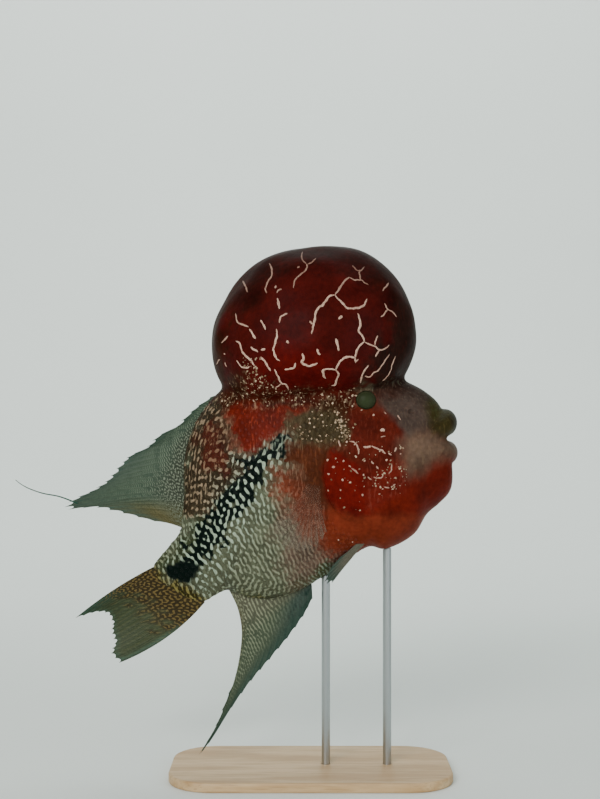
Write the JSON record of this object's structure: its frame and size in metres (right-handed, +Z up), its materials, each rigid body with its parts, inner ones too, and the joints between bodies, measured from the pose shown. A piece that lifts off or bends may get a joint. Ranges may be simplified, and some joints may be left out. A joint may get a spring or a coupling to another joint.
{
  "type": "fish display model",
  "caption": "Life-size still model of a flowerhorn cichlid with a domed nuchal hump and trailing fins, held on rods over a flat base.",
  "frame": {"origin": "centre of the display base's underside", "axes": "+X the way the fish faces, +Y towards the fish's left side, +Z up"},
  "size_m": [0.262, 0.0928, 0.3102],
  "materials": {
    "hump_skin": "wet, smooth, deep maroon skin with cream worm lines",
    "face_skin": "wet red cheek and throat skin, grey-brown on the snout",
    "lip_skin": "wet grey-brown skin, bottle green at the edge",
    "flank_skin": "scaled grey-brown flank with a pale wavy mark on each scale",
    "tail_skin": "scaled black, cream and golden brown skin",
    "fin_membrane": "thin grey-green membrane between fine rays",
    "eye": "clear cornea over a dark green pupil",
    "stand_wood": "oiled pale wood",
    "stand_metal": "satin"
  },
  "bodies": {
    "root": {"nuchal_hump": "hump_skin", "head": "face_skin", "upper_lip": "lip_skin", "lower_lip": "lip_skin", "gill_cover_right": "face_skin", "gill_cover_left": "face_skin", "eye_right": "eye", "eye_left": "eye", "torso": "flank_skin", "tail_stalk": "tail_skin", "dorsal_fin": "fin_membrane", "anal_fin": "fin_membrane", "caudal_fin": "fin_membrane", "pectoral_fin_right": "fin_membrane", "pectoral_fin_left": "fin_membrane", "pelvic_fin_right": "fin_membrane", "pelvic_fin_left": "fin_membrane", "stand_base": "stand_wood", "stand_rod_front": "stand_metal", "stand_rod_rear": "stand_metal"}
  },
  "joints": []
}
